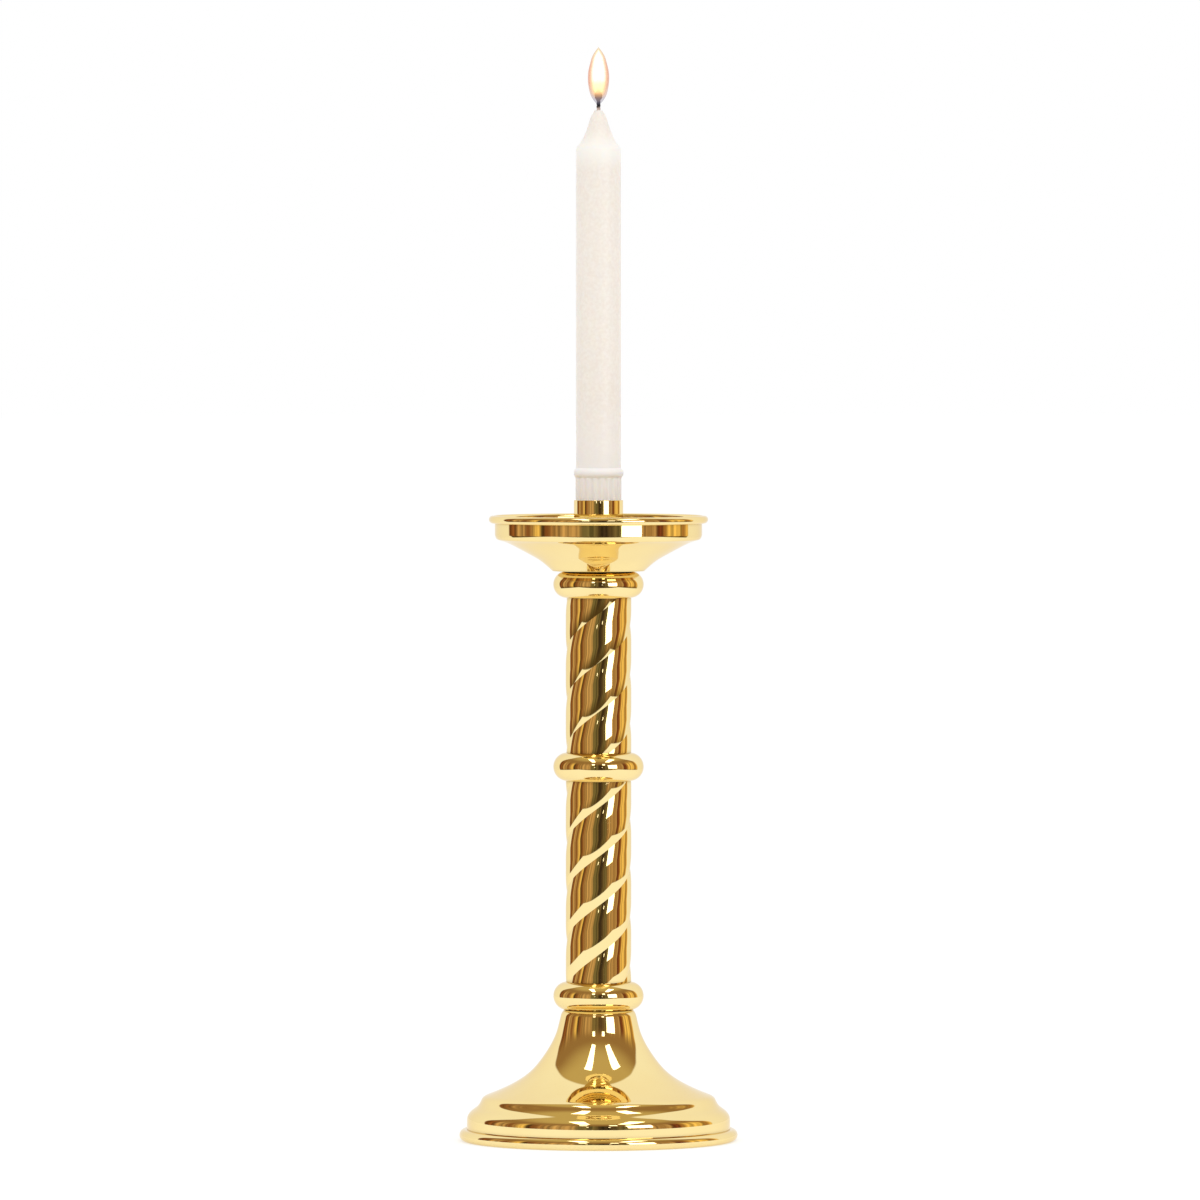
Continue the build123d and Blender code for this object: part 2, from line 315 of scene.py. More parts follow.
class CandleSizes(bpy.types.PropertyGroup):
    """Sizes of the candle, its wick and its flame."""

    radius: length("Radius", "Radius of the candle's side", 11.1)
    foot: length("Foot", "Radius of the tapered end at its foot", 10.7)
    end: length("End", "Radius of the tapered end at the socket's mouth", 11.35)
    collar: length("Collar", "Radius of the tapered end under the bead ring", 11.45)
    ring_stand_out: length("Ring stand-out", "How far the bead ring is proud of the side", 1.25)
    ring_height: length("Ring height", "Height of the bead ring", 4.6)
    ring_lift: length("Ring lift", "Underside of the bead ring above the socket's mouth", 11.2)
    tip_length: length("Tip length", "From the shoulder to the top of the wax", 19.4)
    tip: length("Tip radius", "Radius of the top of the wax", 1.9)
    flute_count: IntProperty(name="Flutes", description="Flutes round the tapered end", default=20, min=3)
    flute: length("Flute radius", "Radius of a flute's round section", 2.2)
    flute_depth: length("Flute depth", "Depth of a flute at the foot and under the ring", 0.3)
    strand: length("Strand radius", "Radius of one of the wick's strands", 0.46)
    plait: length("Plait length", "Length of wick in which a strand crosses over and back", 5.2)
    wick_width: length("Wick width", "How far a strand swings to each side", 0.56)
    wick_depth: length("Wick depth", "How far a strand swings to the front and back", 0.34)
    flame_foot: length("Flame foot", "Foot of the flame above the top of the wax", 2.0)
    flame_height: length("Flame height", "Height of the flame", 29.2)
    flame_radius: length("Flame radius", "Greatest radius of the flame", 5.25)


class FinishColours(bpy.types.PropertyGroup):
    """Colours of the finishes."""

    brass: colour("Brass", "Polished brass", "#FBE8AC")
    brass_warm: colour("Warm brass", "Polished brass where the metal is a little redder", "#F6DC98")
    brass_edge: colour("Brass edge", "Tint of the brass where it is seen edge on", "#F3EADA")
    lacquer: colour("Lacquer", "Old lacquer gathered in the joints", "#7A4F1C")
    zinc: colour("Zinc", "Zinc plating", "#C3C7C9")
    zinc_dull: colour("Dull zinc", "Zinc plating where it has greyed", "#8E9396")
    wax: colour("Wax", "Ivory candle wax", "#EFE6DC")
    wax_pale: colour("Pale wax", "Wax where it is mottled paler", "#F4EDE4")
    # Painted glow: the flame's light on the shoulder, painted into the wax's colour
    wax_painted_glow: colour("Lit wax", "Wax that the flame shines through, at the shoulder", "#F9F4ED")
    # Painted light: the lower end is painted paler to lift the shade near the pan
    wax_foot_painted_light: colour("Foot wax", "Paler, cooler wax of the end that was moulded last", "#FCF6F3")
    cotton: colour("Cotton", "Unburnt waxed wick", "#D9C2B6")
    char: colour("Char", "Burnt wick", "#1C1719")
    ember: colour("Ember", "Glowing end of the wick", "#C8611A")


class StudioSettings(bpy.types.PropertyGroup):
    """Camera and light of the white studio."""

    camera_distance: length("Distance", "Camera's distance in front of the stem", 5500)
    camera_height: length("Height", "Camera's height above the table", 425)
    aim_height: length("Aim", "Height of the point in the middle of the picture", 268)
    aim_side: length("Side", "How far the middle of the picture is right of the stem", 0.74)
    frame_width: length("Frame", "Width of the picture at the stem", 594)
    table_front: length("Table front", "Front edge of the white table top, from the stem", 620)
    table_side: length("Table side", "Side edge of the white table top, from the stem", 800)
    ceiling_height: length("Ceiling", "Height of the strip lamps above the table", 2045)
    ambient: amount("Ambient", "Even white light from all round", 0.86)
    softbox: amount("Softbox", "Brightness of a softbox's face", 3.4)
    floor_glow: amount("Floor glow", "Light that the floor adds", 0.57)
    floor: colour("Floor", "White floor", "#BEBEBE")


class RoomColours(bpy.types.PropertyGroup):
    """Colours of the room that the metal mirrors, before the brass tints them."""

    doorway: colour("Doorway", "Dark doorway behind the camera", "#392E25")
    shade: colour("Shade", "Unlit far end of the room", "#564732")
    olive: colour("Olive", "Olive curtain", "#7A704E")
    tan: colour("Tan", "Lit tan wall", "#C29E70")
    brown: colour("Brown", "Brown panelling", "#865430")
    umber: colour("Umber", "Lit panelling", "#A58156")
    mahogany: colour("Mahogany", "Dark mahogany door post", "#784027")
    amber: colour("Amber", "Amber door", "#A8763E")
    gold: colour("Gold", "Golden curtain", "#EEC878")
    ceiling: colour("Ceiling", "Dim ceiling", "#987850")
    overhead: colour("Overhead", "Ceiling near the lamps", "#C4AE7A")
    ground: colour("Ground", "Unlit floor round the table", "#524226")


class CandlestickSettings(bpy.types.PropertyGroup):
    """All settings of the candlestick."""

    brass: PointerProperty(type=BrassSizes)
    fasteners: PointerProperty(type=FastenerSizes)
    candle: PointerProperty(type=CandleSizes)
    colours: PointerProperty(type=FinishColours)
    studio: PointerProperty(type=StudioSettings)
    room: PointerProperty(type=RoomColours)


# Outlines, as radius and height


def arc(centre, radius, start, end, steps=24):
    """Points of an arc from one angle to another, in degrees, counter-clockwise when end is the larger."""
    turns = np.radians(np.linspace(start, end, steps + 1))
    return np.column_stack((centre[0] + radius * np.cos(turns), centre[1] + radius * np.sin(turns)))


def arc_through(start, middle, end, steps=24):
    """Points of an arc through three points."""
    a, b, c = (np.array(p, float) for p in (start, middle, end))
    sides = 2 * np.array((b - a, c - a))
    squares = np.array((b @ b - a @ a, c @ c - a @ a))
    centre = np.linalg.solve(sides, squares)
    radius = np.linalg.norm(a - centre)
    first, last = (math.degrees(math.atan2(*(p - centre)[::-1])) for p in (a, c))
    return arc(centre, radius, first, last, steps)


def arc_from(start, direction, end, steps=16):
    """Points of an arc that leaves a point in a direction, bends to the left and ends at another."""
    start, end = np.array(start, float), np.array(end, float)
    left = np.array((-direction[1], direction[0]))
    chord = end - start
    radius = chord @ chord / (2 * chord @ left)
    centre = start + radius * left
    first, last = (math.degrees(math.atan2(*(p - centre)[::-1])) for p in (start, end))
    return arc(centre, radius, first, last, steps)


def flowing(points, start, end, steps=20):
    """Points and directions of a smooth curve through points, with the given directions at its ends."""
    knots = np.array(points, float)
    chords = np.linalg.norm(np.diff(knots, axis=0), axis=1)
    system = np.eye(len(knots))
    wanted = np.zeros_like(knots)
    wanted[0] = END_PULL_SHARE * np.array(start) / np.linalg.norm(start)
    wanted[-1] = END_PULL_SHARE * np.array(end) / np.linalg.norm(end)
    for i in range(1, len(knots) - 1):
        before, after = chords[i - 1], chords[i]
        system[i, i - 1 : i + 2] = after, 2 * (before + after), before
        rise = after / before * (knots[i] - knots[i - 1]) + before / after * (knots[i + 1] - knots[i])
        wanted[i] = 3 * rise
    slopes = np.linalg.solve(system, wanted)
    places, directions = [], []
    for i, chord in enumerate(chords):
        last_span = i == len(chords) - 1
        t = np.linspace(0, 1, steps + 1 if last_span else steps, endpoint=last_span)[:, None]
        a, b = knots[i], knots[i + 1]
        ma, mb = slopes[i] * chord, slopes[i + 1] * chord
        places.append(
            (2 * t**3 - 3 * t**2 + 1) * a
            + (t**3 - 2 * t**2 + t) * ma
            + (3 * t**2 - 2 * t**3) * b
            + (t**3 - t**2) * mb
        )
        directions.append(
            (6 * t**2 - 6 * t) * a
            + (3 * t**2 - 4 * t + 1) * ma
            + (6 * t - 6 * t**2) * b
            + (3 * t**2 - 2 * t) * mb
        )
    places, directions = np.concatenate(places), np.concatenate(directions)
    return places, directions / np.linalg.norm(directions, axis=1)[:, None]


def sheet_inside(curve, thickness):
    """Points that run one thickness of sheet to the left of a flowing curve."""
    places, directions = curve
    return places + thickness * np.column_stack((-directions[:, 1], directions[:, 0]))


def between(start, end, shares):
    """Points at shares of the way from one corner to another, across and up."""
    start, end = np.array(start, float), np.array(end, float)
    return [start + np.array(share) * (end - start) for share in shares]


def even(points, spacing):
    """An outline with points added on its long straight runs."""
    filled = [points[0]]
    for a, b in zip(points, points[1:]):
        count = max(1, math.ceil(np.linalg.norm(np.subtract(b, a)) / spacing))
        filled += [np.array(a) + (np.array(b) - a) * (i + 1) / count for i in range(count)]
    return filled


# Meshes


def finished(name, mesh, material, body, replaces=(), sharp=SHARP):
    """A piece from a mesh, smooth but for its sharp edges, riding on a body."""
    mesh.name = name
    mesh.shade_smooth()
    mesh.set_sharp_from_angle(angle=math.radians(sharp))
    mesh.materials.clear()
    mesh.materials.append(material)
    piece = bpy.data.objects.new(name, mesh)
    bpy.context.scene.collection.objects.link(piece)
    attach(piece, body)
    if replaces:
        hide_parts(*replaces)
    return piece


def mark_creases(mesh, gaps, reach):
    """Keep how much lacquer gathers at each point of a mesh, by its gap to the nearest joint."""
    depth = np.exp(-((gaps / reach) ** 2)).astype(np.float32)
    mesh.attributes.new("crease", "FLOAT", "POINT").data.foreach_set("value", depth)


def turned(name, outline, segments, closed=True, radius_rule=None, creases=(), reach=1.0):
    """Mesh of an outline turned about the axis. An open outline starts and ends on the axis."""
    outline = np.array(outline, float)
    turns = np.arange(segments) * FULL_TURN / segments
    rings = outline if closed else outline[1:-1]
    radii = np.repeat(rings[:, :1], segments, axis=1)
    if radius_rule:
        radii = radius_rule(rings, turns)
    heights = np.repeat(rings[:, 1:], segments, axis=1)
    corners = np.stack((radii * np.cos(turns), radii * np.sin(turns), heights), axis=-1).reshape(-1, 3)
    here = np.arange(len(rings) * segments).reshape(len(rings), segments)
    following = np.roll(here, -1, axis=1)
    if closed:
        above, above_following = np.roll(here, -1, axis=0), np.roll(following, -1, axis=0)
        faces = np.stack((here, following, above_following, above), axis=-1).reshape(-1, 4).tolist()
    else:
        bands = (here[:-1], following[:-1], following[1:], here[1:])
        faces = np.stack(bands, axis=-1).reshape(-1, 4).tolist()
        bottom, top = len(corners), len(corners) + 1
        corners = np.vstack((corners, [0, 0, outline[0][1]], [0, 0, outline[-1][1]]))
        faces += [[bottom, b, a] for a, b in zip(here[0].tolist(), following[0].tolist())]
        faces += [[top, a, b] for a, b in zip(here[-1].tolist(), following[-1].tolist())]
    mesh = bpy.data.meshes.new(name)
    mesh.from_pydata(corners.tolist(), [], faces)
    if creases:
        gaps = np.linalg.norm(rings[:, None] - np.array(creases)[None], axis=2).min(axis=1)
        mark_creases(mesh, np.repeat(gaps, segments), reach)
    return mesh


def wire(tree, node, inputs):
    """Set a node's inputs, in order or by name, or link them to sockets or to other nodes' results."""
    for key, value in inputs.items() if isinstance(inputs, dict) else enumerate(inputs):
        if isinstance(value, bpy.types.Node):
            value = next(output for output in value.outputs if output.enabled)
        if isinstance(value, bpy.types.NodeSocket):
            tree.links.new(value, node.inputs[key])
        else:
            node.inputs[key].default_value = value


def add(tree, kind, inputs=(), **settings):
    """A new node with its settings, and its inputs set or linked."""
    made = tree.nodes.new(kind)
    for key, value in settings.items():
        setattr(made, key, value)
    wire(tree, made, inputs)
    return made


def new_tree(name, lengths, counts):
    """A geometry tree with named inputs for lengths, counts and a material, and those inputs."""
    tree = bpy.data.node_groups.new(name, "GeometryNodeTree")
    for labels, kind in ((lengths, "Float"), (counts, "Int"), (("Material",), "Material")):
        for label in labels:
            tree.interface.new_socket(label, in_out="INPUT", socket_type=f"NodeSocket{kind}")
    tree.interface.new_socket("Geometry", in_out="OUTPUT", socket_type="NodeSocketGeometry")
    return tree, add(tree, "NodeGroupInput").outputs


def end_tree(tree, geometry, material):
    """The end of a geometry tree: plain geometry with its material."""
    real = add(tree, "GeometryNodeRealizeInstances", [geometry])
    done = add(tree, "GeometryNodeSetMaterial", {"Geometry": real, "Material": material})
    add(tree, "NodeGroupOutput", [done])
    return tree


def run_tree(name, tree, values):
    """Plain mesh that a geometry tree makes with the given input values."""
    holder = bpy.data.objects.new(name, bpy.data.meshes.new(name))
    bpy.context.scene.collection.objects.link(holder)
    modifier = holder.modifiers.new(name, "NODES")
    modifier.node_group = tree
    for item in tree.interface.items_tree:
        if item.in_out == "INPUT" and item.name in values:
            modifier[item.identifier] = values[item.name]
    evaluated = holder.evaluated_get(bpy.context.evaluated_depsgraph_get())
    mesh = bpy.data.meshes.new_from_object(evaluated)
    holder.modifiers.remove(modifier)
    bpy.data.objects.remove(holder)
    return mesh


def helical_groove_tree():
    """Round bar with helical grooves, each a sharp bottom between two flanks that round off."""
    lengths = ("Length", "Height", "Radius", "Bore", "Depth", "Lead", "Above", "Below", "First Angle")
    tree, given = new_tree("helical_grooves", lengths, ("Grooves", "Columns", "Rows"))
    # One row more than the bar has steps, two for the bore and one that closes the loop
    columns = add(tree, MATH, [given["Columns"], 1.0], operation="ADD")
    rows = add(tree, MATH, [given["Rows"], 4.0], operation="ADD")
    steps = add(tree, MATH, [given["Rows"], 3.0], operation="ADD")
    grid = add(
        tree,
        "GeometryNodeMeshGrid",
        {"Size X": 1.0, "Size Y": 1.0, "Vertices X": columns, "Vertices Y": rows},
    )
    place = add(tree, SEPARATE, [add(tree, "GeometryNodeInputPosition")]).outputs
    turn = add(tree, MATH, [place["X"], 0.5], operation="ADD")
    up = add(tree, MATH, [place["Y"], 0.5], operation="ADD")
    row = add(tree, MATH, [up, steps], operation="MULTIPLY")
    # Rows past the top run along the bore
    past = add(tree, MATH, [row, given["Rows"]], operation="SUBTRACT")
    after_top = add(tree, MATH, [past, 0.75], operation="GREATER_THAN")
    before_end = add(tree, MATH, [past, 2.25], operation="LESS_THAN")
    inside = add(tree, MATH, [after_top, before_end], operation="MULTIPLY")
    rising = add(tree, MATH, [past, 1.5], operation="LESS_THAN")
    lower = add(tree, MATH, [row, given["Rows"]], operation="MINIMUM")
    climb = add(tree, MATH, [lower, given["Rows"]], operation="DIVIDE")
    share = add(tree, MATH, [climb, rising], operation="MULTIPLY")
    along = add(tree, MATH, [share, given["Length"]], operation="MULTIPLY")
    # The columns of points follow the grooves, so that a groove's bottom is one clean edge
    twists = add(tree, MATH, [along, given["Lead"]], operation="DIVIDE")
    turns = add(tree, MATH, [turn, twists], operation="ADD")
    swing = add(tree, MATH, [turns, FULL_TURN], operation="MULTIPLY")
    bearing = add(tree, MATH, [swing, given["First Angle"]], operation="ADD")
    cosine = add(tree, MATH, [bearing], operation="COSINE")
    sine = add(tree, MATH, [bearing], operation="SINE")
    # How deep the grooves are at a point of their pitch
    counted = add(tree, MATH, [turn, given["Grooves"]], operation="MULTIPLY")
    phase = add(tree, MATH, [counted], operation="FRACT")
    back = add(tree, MATH, [1.0, phase], operation="SUBTRACT")
    pitch = add(tree, MATH, [given["Lead"], given["Grooves"]], operation="DIVIDE")
    cuts = []
    for distance, width in ((phase, "Below"), (back, "Above")):
        spread = add(tree, MATH, [given[width], pitch], operation="DIVIDE")
        gone = add(tree, MATH, [distance, spread], operation="DIVIDE")
        left = add(tree, MATH, [1.0, gone], operation="SUBTRACT", use_clamp=True)
        cuts.append(add(tree, MATH, [left, 2.0], operation="POWER"))
    cut = add(tree, MATH, [cuts[0], cuts[1]], operation="MAXIMUM")
    depth = add(tree, MATH, [cut, given["Depth"]], operation="MULTIPLY")
    outside = add(tree, MATH, [given["Radius"], depth], operation="SUBTRACT")
    radius = add(tree, MIX, {"Factor": inside, "A": outside, "B": given["Bore"]}, data_type="FLOAT")
    x = add(tree, MATH, [radius, cosine], operation="MULTIPLY")
    y = add(tree, MATH, [radius, sine], operation="MULTIPLY")
    z = add(tree, MATH, [along, given["Height"]], operation="ADD")
    spot = add(tree, COMBINE, {"X": x, "Y": y, "Z": z})
    # A solid bar has no bore: its end faces close on the axis
    solid = add(tree, MATH, [given["Bore"], MICRON], operation="LESS_THAN")
    axis_faces = add(tree, MATH, [inside, solid], operation="MULTIPLY")
    open_grid = add(
        tree, "GeometryNodeDeleteGeometry", {"Geometry": grid, "Selection": axis_faces}, domain="FACE"
    )
    bent = add(tree, "GeometryNodeSetPosition", {"Geometry": open_grid, "Position": spot})
    joined = add(tree, "GeometryNodeMergeByDistance", {"Geometry": bent, "Distance": MICRON})
    return end_tree(tree, joined, given["Material"])


def plait_tree():
    """Flat plait of three round strands up the axis."""
    lengths = ("Foot", "Top", "Strand", "Plait", "Width", "Depth", "Spacing")
    tree, given = new_tree("plaited_wick", lengths, ("Strands",))
    start = add(tree, COMBINE, {"Z": given["Foot"]})
    end = add(tree, COMBINE, {"Z": given["Top"]})
    line = add(tree, "GeometryNodeCurvePrimitiveLine", {"Start": start, "End": end})
    stepped = add(
        tree, "GeometryNodeResampleCurve", {"Curve": line, "Length": given["Spacing"]}, mode="LENGTH"
    )
    strands = add(
        tree,
        "GeometryNodeDuplicateElements",
        {"Geometry": stepped, "Amount": given["Strands"]},
        domain="SPLINE",
    )
    place = add(tree, SEPARATE, [add(tree, "GeometryNodeInputPosition")]).outputs
    number = strands.outputs["Duplicate Index"]
    offset = add(tree, MATH, [number, given["Strands"]], operation="DIVIDE")
    climb = add(tree, MATH, [place["Z"], given["Plait"]], operation="DIVIDE")
    turns = add(tree, MATH, [climb, offset], operation="ADD")
    swing = add(tree, MATH, [turns, FULL_TURN], operation="MULTIPLY")
    double = add(tree, MATH, [swing, 2.0], operation="MULTIPLY")
    side = add(tree, MATH, [swing], operation="SINE")
    front = add(tree, MATH, [double], operation="SINE")
    x = add(tree, MATH, [side, given["Width"]], operation="MULTIPLY")
    y = add(tree, MATH, [front, given["Depth"]], operation="MULTIPLY")
    shift = add(tree, COMBINE, {"X": x, "Y": y})
    plaited = add(tree, "GeometryNodeSetPosition", {"Geometry": strands, "Offset": shift})
    section = add(
        tree,
        "GeometryNodeCurvePrimitiveCircle",
        {"Resolution": 10, "Radius": given["Strand"]},
        mode="RADIUS",
    )
    tubes = add(
        tree, "GeometryNodeCurveToMesh", {"Curve": plaited, "Profile Curve": section, "Fill Caps": True}
    )
    return end_tree(tree, tubes, given["Material"])


# Materials


def new_material(name):
    """An empty material with its tree, its shader and its surface output linked."""
    material = bpy.data.materials.new(name)
    material.use_nodes = True
    tree = material.node_tree
    tree.nodes.clear()
    shader = add(tree, "ShaderNodeBsdfPrincipled")
    add(tree, "ShaderNodeOutputMaterial", {"Surface": shader})
    return material, tree, shader


def polished_brass(settings):
    """Brass, turned or spun, buffed to a mirror and lacquered: it shows the room in warm yellow, drawn
    a little along the rings that the lathe left, and the lacquer is browner where it gathers in joints."""
    if "polished_brass_lacquered" in bpy.data.materials:
        return bpy.data.materials["polished_brass_lacquered"]
    material, tree, shader = new_material("polished_brass_lacquered")
    colours = settings.colours
    spot = add(tree, "ShaderNodeTexCoord").outputs["Object"]
    # Cloudy drift of the metal's tone, over 30 mm
    drift = add(tree, NOISE, {"Vector": spot, "Scale": 1 / (30 * MM), "Detail": 2.0})
    tone = add(
        tree, MIX, {"Factor": drift, MIX_A: colours.brass, MIX_B: colours.brass_warm}, data_type="RGBA"
    )
    crease = add(tree, "ShaderNodeAttribute", attribute_name="crease")
    gathered = add(tree, MATH, [crease.outputs["Fac"], LACQUER_SHARE], operation="MULTIPLY")
    coated = add(tree, MIX, {"Factor": gathered, MIX_A: tone, MIX_B: colours.lacquer}, data_type="RGBA")
    # Rings left by the lathe: a noise of radius and height alone, drawn 1.5 mm wide so that it shows
    place = add(tree, SEPARATE, [spot]).outputs
    flat = add(tree, COMBINE, {"X": place["X"], "Y": place["Y"]})
    radius = add(tree, "ShaderNodeVectorMath", [flat], operation="LENGTH").outputs["Value"]
    across = add(tree, COMBINE, {"X": radius, "Y": place["Z"]})
    rings = add(tree, NOISE, {"Vector": across, "Scale": 1 / (1.5 * MM), "Detail": 3.0})
    gloss = add(tree, MAP_RANGE, [rings, 0.3, 0.7, 0.02, 0.05])
    # Soft waves of the buffing wheel, 9 mm long and up to 18 microns high
    waves = add(tree, NOISE, {"Vector": spot, "Scale": 1 / (9 * MM), "Detail": 1.0})
    buffed = add(tree, BUMP, {"Height": waves, "Strength": 1.0, "Distance": 18 * MICRON})
    ringed = add(
        tree, BUMP, {"Height": rings, "Strength": 1.0, "Distance": 1.5 * MICRON, "Normal": buffed}
    )
    wire(
        tree,
        shader,
        {
            "Metallic": 1.0,
            "Coat Weight": 0.15,
            "Coat Roughness": 0.03,
            "Specular Tint": colours.brass_edge,
            "Base Color": coated,
            "Roughness": gloss,
            "Normal": ringed,
        },
    )
    return material


def turned_brass(settings, name, outline, segments, creases, node):
    """A piece of turned or spun brass that stands for a node."""
    mesh = turned(name, outline, segments, creases=creases, reach=settings.brass.crease_reach)
    finished(name, mesh, polished_brass(settings), HOLDER, [node])


def zinc_plated_steel(settings):
    """Steel fasteners with a bright zinc plating: grey, softly shiny, greyed in patches, with the fine
    grain of the plating."""
    if "zinc_plated_steel" in bpy.data.materials:
        return bpy.data.materials["zinc_plated_steel"]
    material, tree, shader = new_material("zinc_plated_steel")
    colours = settings.colours
    spot = add(tree, "ShaderNodeTexCoord").outputs["Object"]
    # Greyed patches 3 mm across
    patches = add(tree, NOISE, {"Vector": spot, "Scale": 1 / (3 * MM), "Detail": 4.0})
    tone = add(
        tree, MIX, {"Factor": patches, MIX_A: colours.zinc, MIX_B: colours.zinc_dull}, data_type="RGBA"
    )
    gloss = add(tree, MAP_RANGE, [patches, 0.0, 1.0, 0.22, 0.42])
    # Plating grain of 0.4 mm
    grain = add(tree, NOISE, {"Vector": spot, "Scale": 1 / (0.4 * MM), "Detail": 2.0})
    rough = add(tree, BUMP, {"Height": grain, "Strength": 0.6, "Distance": 10 * MICRON})
    wire(tree, shader, {"Metallic": 1.0, "Base Color": tone, "Roughness": gloss, "Normal": rough})
    return material


def candle_wax(settings):
    """Ivory stearin wax, moulded: light goes a little way in, so that it looks soft and milky, with a satin
    skin and faint mottling
    where it set unevenly. Painted light: the lower end is painted paler and cooler against the shade near
    the pan, and the shoulder is painted paler as a painted glow of the flame."""
    material, tree, shader = new_material("ivory_candle_wax")
    colours, sizes = settings.colours, settings.candle
    spot = add(tree, "ShaderNodeTexCoord").outputs["Object"]
    # Mottling 1.6 mm across
    mottle = add(tree, NOISE, {"Vector": spot, "Scale": 1 / (1.6 * MM), "Detail": 5.0})
    patchy = add(tree, MAP_RANGE, [mottle, 0.35, 0.65])
    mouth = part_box("socket")[1].z
    place = add(tree, SEPARATE, [spot]).outputs
    body = add(
        tree, MIX, {"Factor": patchy, MIX_A: colours.wax, MIX_B: colours.wax_pale}, data_type="RGBA"
    )
    # Painted light: the wax is painted paler from the socket's mouth up over several ring lifts, to lift the
    # shade near the pan
    end = add(
        tree,
        MAP_RANGE,
        [place["Z"], mouth, mouth + PAINTED_LIGHT_END_LIFTS * sizes.ring_lift, 1.0, 0.0],
        interpolation_type="SMOOTHSTEP",
    )
    whole = add(tree, MIX, {"Factor": end, MIX_A: body, MIX_B: colours.wax_foot_painted_light}, data_type="RGBA")
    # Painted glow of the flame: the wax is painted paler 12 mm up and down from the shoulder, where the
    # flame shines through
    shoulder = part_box("candle")[1].z - sizes.tip_length
    up = add(tree, MATH, [place["Z"], shoulder], operation="SUBTRACT")
    away = add(tree, MATH, [up], operation="ABSOLUTE")
    through = add(tree, MAP_RANGE, [away, 0.0, 12 * MM, 1.0, 0.0], interpolation_type="SMOOTHSTEP")
    glowing = add(tree, MIX, {"Factor": through, MIX_A: whole, MIX_B: colours.wax_painted_glow}, data_type="RGBA")
    gloss = add(tree, MAP_RANGE, [mottle, 0.0, 1.0, 0.34, 0.5])
    # Bloom and pour marks of 1.6 mm
    grain = add(tree, NOISE, {"Vector": spot, "Scale": 1 / (1.6 * MM), "Detail": 4.0})
    skin = add(tree, BUMP, {"Height": grain, "Strength": 0.5, "Distance": 40 * MICRON})
    wire(
        tree,
        shader,
        {
            "Subsurface Weight": 0.35,
            "Subsurface Radius": (1.0, 0.75, 0.5),
            "Subsurface Scale": 3 * MM,
            "IOR": 1.44,
            "Base Color": glowing,
            "Roughness": gloss,
            "Normal": skin,
        },
    )
    return material


def wick_cotton(settings, wax_top, wick_top):
    """Plaited cotton soaked in wax: cream where it leaves the wax, burnt black above, with an ember at
    its end."""
    material, tree, shader = new_material("plaited_cotton_burnt")
    colours = settings.colours
    spot = add(tree, "ShaderNodeTexCoord").outputs["Object"]
    # Fibres of 0.25 mm that blur the edge of the burnt part
    fibres = add(tree, NOISE, {"Vector": spot, "Scale": 1 / (0.25 * MM), "Detail": 3.0})
    place = add(tree, SEPARATE, [spot]).outputs
    height = add(tree, MAP_RANGE, [place["Z"], wax_top, wick_top])
    # By share of its height, with a ragged edge: burnt from 0.16 to 0.34, and glowing from 0.9
    ragged = add(tree, MATH, [fibres, 0.12, height], operation="MULTIPLY_ADD")
    burnt = add(tree, RAMP, {"Fac": ragged})
    stops = burnt.color_ramp.elements
    stops[0].position, stops[0].color = 0.16, colours.cotton
    stops[1].position, stops[1].color = 0.34, colours.char
    glow = add(tree, MAP_RANGE, [ragged, 0.9, 1.1, 0.0, 1.2])
    fuzz = add(tree, BUMP, {"Height": fibres, "Strength": 0.8, "Distance": 60 * MICRON})
    wire(
        tree,
        shader,
        {
            "Roughness": 0.9,
            "Emission Color": colours.ember,
            "Base Color": burnt,
            "Emission Strength": glow,
            "Normal": fuzz,
        },
    )
    return material


def flame_gas(name, stops, foot, height, strength, alpha, rise):
    """Burning gas: it glows by itself, hides little of what is behind it, least at its foot, and its
    colour goes by height, from the cool blue foot to the yellow point."""
    material, tree, shader = new_material(name)
    spot = add(tree, "ShaderNodeTexCoord").outputs["Object"]
    place = add(tree, SEPARATE, [spot]).outputs
    up = add(tree, MAP_RANGE, [place["Z"], foot, foot + height])
    ramp = add(tree, RAMP, {"Fac": up})
    ramp.color_ramp.interpolation = "EASE"
    elements = ramp.color_ramp.elements
    while len(elements) < len(stops):
        elements.new(1.0)
    for element, (position, hex_colour) in zip(elements, stops):
        element.position, element.color = position, linear(hex_colour)
    dense = add(tree, MAP_RANGE, [up, 0.0, rise, FLAME_FOOT_ALPHA, alpha], interpolation_type="SMOOTHSTEP")
    wire(
        tree,
        shader,
        {
            "Base Color": BLACK,
            "Specular IOR Level": 0.0,
            "Roughness": 1.0,
            "Emission Color": ramp,
            "Emission Strength": strength,
            "Alpha": dense,
        },
    )
    return material


# Operators


class PieceOperator:
    """What the operators share."""

    bl_options = {"REGISTER", "UNDO"}


